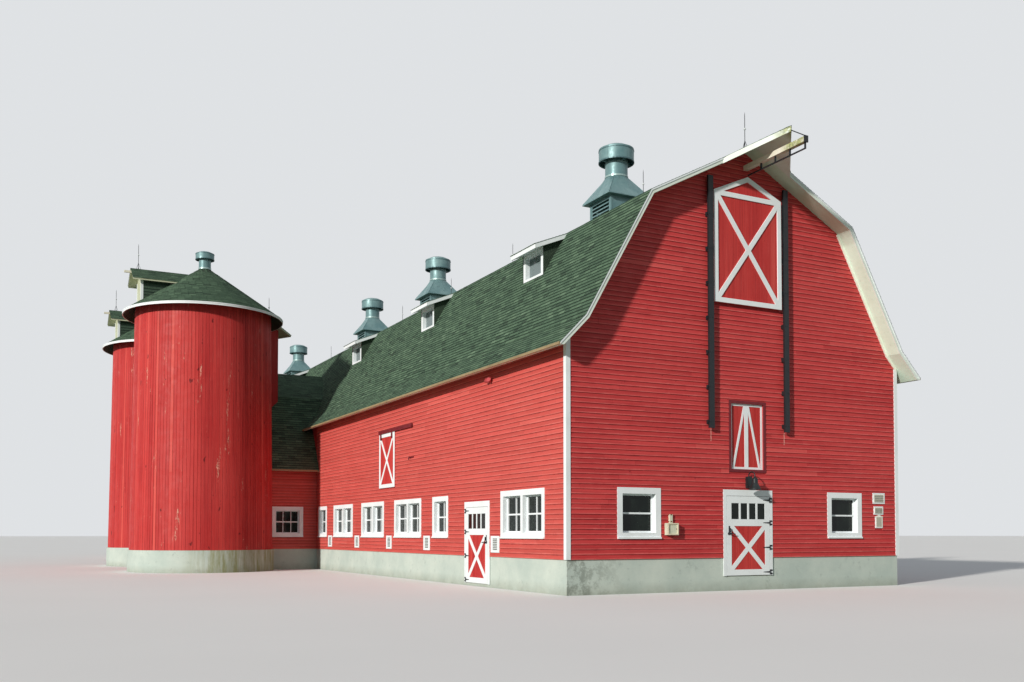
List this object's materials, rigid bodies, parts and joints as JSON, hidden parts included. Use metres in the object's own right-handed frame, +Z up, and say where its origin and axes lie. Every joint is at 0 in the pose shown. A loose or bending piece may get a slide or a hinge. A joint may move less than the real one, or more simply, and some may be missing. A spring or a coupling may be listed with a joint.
{
  "type": "gambrel barn with two silos, 1:2 scale model",
  "caption": "Gambrel-roofed timber barn at half size, with a cross wing, a pair of round silos, shed dormers, ridge vents, a hay hood and hinged cross-braced doors.",
  "frame": {"origin": "on the ground under the middle of the main barn, on the underside of its floor slab", "axes": "+Y along the ridge away from the front gable, +X away from the silos, +Z up"},
  "size_m": [10.656, 29.469, 7.695],
  "materials": {
    "siding_red": "painted red boards, weathered",
    "trim_white": "painted white boards",
    "shingle_green": "green mineral shingles",
    "concrete_pale": "painted concrete",
    "steel_black": "black painted steel",
    "glass_clear": "clear panes",
    "galvanised_grey": "dull galvanised sheet",
    "timber_bare": "plain timber"
  },
  "bodies": {
    "barn": {"corner_boards": "trim_white", "door_frames": "trim_white", "door_hinges": "steel_black", "door_sills": "concrete_pale", "dormer_cheeks": "shingle_green", "dormer_roofs": "shingle_green", "dormer_windows": "trim_white", "east_roof": "shingle_green", "east_wall": "siding_red", "eave_boards": "trim_white", "foundation_ends": "concrete_pale", "foundation_sides": "concrete_pale", "foundation_wing": "concrete_pale", "front_gable": "siding_red", "front_wall": "siding_red", "gable_windows": "trim_white", "ground_floor": "concrete_pale", "hay_beam": "timber_bare", "hay_door_tracks": "steel_black", "hay_hood": "shingle_green", "hay_track": "steel_black", "hood_stay": "steel_black", "lightning_rods": "steel_black", "loft_floor": "timber_bare", "meter_box": "galvanised_grey", "rake_boards": "trim_white", "rear_wall": "siding_red", "roof_vents": "galvanised_grey", "side_windows": "trim_white", "silo_bases": "concrete_pale", "silo_beams": "timber_bare", "silo_chutes": "siding_red", "silo_dormers": "shingle_green", "silo_eave_rings": "trim_white", "silo_hood_roofs": "shingle_green", "silo_roofs": "shingle_green", "silo_walls": "siding_red", "upper_door_casings": "siding_red", "upper_door_trim": "trim_white", "upper_doors": "siding_red", "wall_lamps": "steel_black", "wall_plates": "trim_white", "west_roof": "shingle_green", "west_wall": "siding_red", "west_wall_lintels": "siding_red", "window_glass": "glass_clear", "wing_roof": "shingle_green", "wing_walls": "siding_red"},
    "front_door": {"front_door_leaf": "siding_red", "front_door_trim": "trim_white", "front_door_glass": "glass_clear", "front_door_straps": "steel_black"},
    "side_door": {"side_door_leaf": "siding_red", "side_door_trim": "trim_white", "side_door_glass": "glass_clear", "side_door_straps": "steel_black"}
  },
  "joints": [
    {"name": "front_door_hinge", "type": "hinge", "parent": "barn", "child": "front_door", "pos_m": [0.3975, -13.9943, 0.8], "axis": [0, 0, 1], "range_deg": [0, 110]},
    {"name": "side_door_hinge", "type": "hinge", "parent": "barn", "child": "side_door", "pos_m": [-3.0668, -10.8275, 0.65], "axis": [0, 0, -1], "range_deg": [0, 110]}
  ]
}
